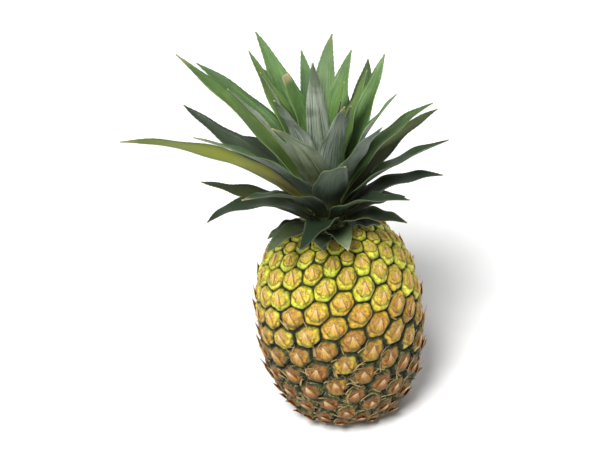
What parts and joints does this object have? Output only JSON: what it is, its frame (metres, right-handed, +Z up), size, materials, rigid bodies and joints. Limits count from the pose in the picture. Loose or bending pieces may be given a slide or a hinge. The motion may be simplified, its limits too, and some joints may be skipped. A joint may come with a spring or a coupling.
{
  "type": "pineapple",
  "caption": "Whole pineapple with a barrel-shaped fruit of raised spiral eyes, a cut stalk in its base and a crown of stiff pointed leaves; stands upright on its flat base.",
  "frame": {"origin": "on the fruit's axis, in the plane its flat base stands on", "axes": "+Z up along the fruit's axis towards the crown, -Y towards the front, +X to the right seen from the front"},
  "size_m": [0.2293, 0.2015, 0.3171],
  "materials": {
    "fruit_skin": "waxy ridged rind, yellow-green above and orange-brown below, with dark grooves",
    "cut_stalk": "dry fibrous cut end",
    "crown_stem": "matt pale green-brown plant stem",
    "leaf": "waxy grey-green blade with fine lengthwise lines"
  },
  "bodies": {
    "root": {"fruit": "fruit_skin", "cut_stalk": "cut_stalk", "crown_stem": "crown_stem", "leaf_01": "leaf", "leaf_02": "leaf", "leaf_03": "leaf", "leaf_04": "leaf", "leaf_05": "leaf", "leaf_06": "leaf", "leaf_07": "leaf", "leaf_08": "leaf", "leaf_09": "leaf", "leaf_10": "leaf", "leaf_11": "leaf", "leaf_12": "leaf", "leaf_13": "leaf", "leaf_14": "leaf", "leaf_15": "leaf", "leaf_16": "leaf", "leaf_17": "leaf", "leaf_18": "leaf", "leaf_19": "leaf", "leaf_20": "leaf", "leaf_21": "leaf", "leaf_22": "leaf", "leaf_23": "leaf", "leaf_24": "leaf", "leaf_25": "leaf", "leaf_26": "leaf", "leaf_27": "leaf", "leaf_28": "leaf", "leaf_29": "leaf", "leaf_30": "leaf", "leaf_31": "leaf", "leaf_32": "leaf", "leaf_33": "leaf", "leaf_34": "leaf", "leaf_35": "leaf", "leaf_36": "leaf", "leaf_37": "leaf", "leaf_38": "leaf", "leaf_39": "leaf", "leaf_40": "leaf", "leaf_41": "leaf", "leaf_42": "leaf", "leaf_43": "leaf", "leaf_44": "leaf", "leaf_45": "leaf", "leaf_46": "leaf", "leaf_47": "leaf", "leaf_48": "leaf", "leaf_49": "leaf", "leaf_50": "leaf"}
  },
  "joints": []
}
